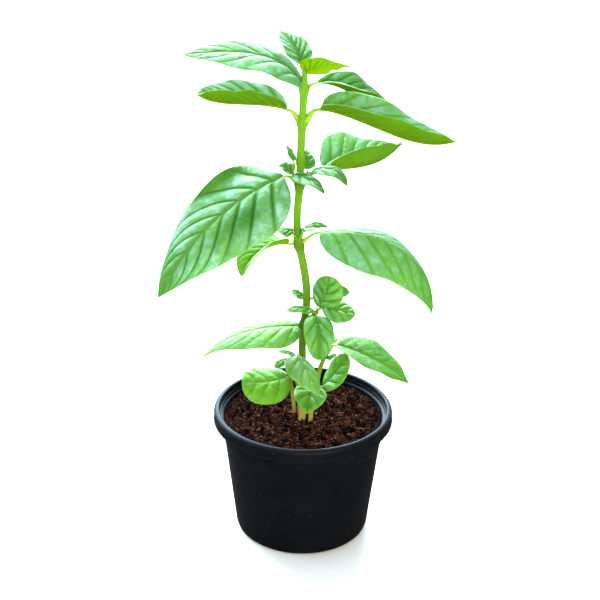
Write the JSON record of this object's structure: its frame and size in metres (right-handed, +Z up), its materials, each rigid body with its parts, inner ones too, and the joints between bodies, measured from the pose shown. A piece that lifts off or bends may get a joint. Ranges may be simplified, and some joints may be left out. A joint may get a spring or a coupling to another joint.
{
  "type": "potted basil plant",
  "caption": "Potted sweet basil: a square green stem with pairs of broad pointed leaves, small leafy shoots round its foot, and dark soil in a round black nursery pot.",
  "frame": {"origin": "centre of the pot's underside, on the surface it stands on", "axes": "+Z up along the pot's axis, +X to the viewer's right and -Y towards the viewer of the front"},
  "size_m": [0.1601, 0.106, 0.3006],
  "materials": {
    "pot": "satin black moulded plastic",
    "soil": "loose dark potting mix with bark fibres",
    "stem": "satin fresh green",
    "leaf": "glossy leaf with veins, yellow-green below"
  },
  "bodies": {
    "root": {"pot": "pot", "soil": "soil", "main_stem": "stem", "crown_leaf_left": "leaf", "crown_leaf_right": "leaf", "crown_leaf_back": "leaf", "crown_leaf_front": "leaf", "upper_leaf_left": "leaf", "upper_leaf_right": "leaf", "high_leaf_left": "leaf", "high_leaf_right": "leaf", "middle_leaf_right": "leaf", "middle_leaf_left": "leaf", "low_leaf_left": "leaf", "low_leaf_right": "leaf", "high_shoot_left": "leaf", "high_shoot_right": "leaf", "middle_shoot_right": "leaf", "middle_shoot_left": "leaf", "side_shoot_front": "leaf", "side_shoot_back": "leaf", "foot_shoot": "leaf", "front_shoot": "leaf", "left_shoot": "leaf", "back_shoot": "leaf"}
  },
  "joints": []
}
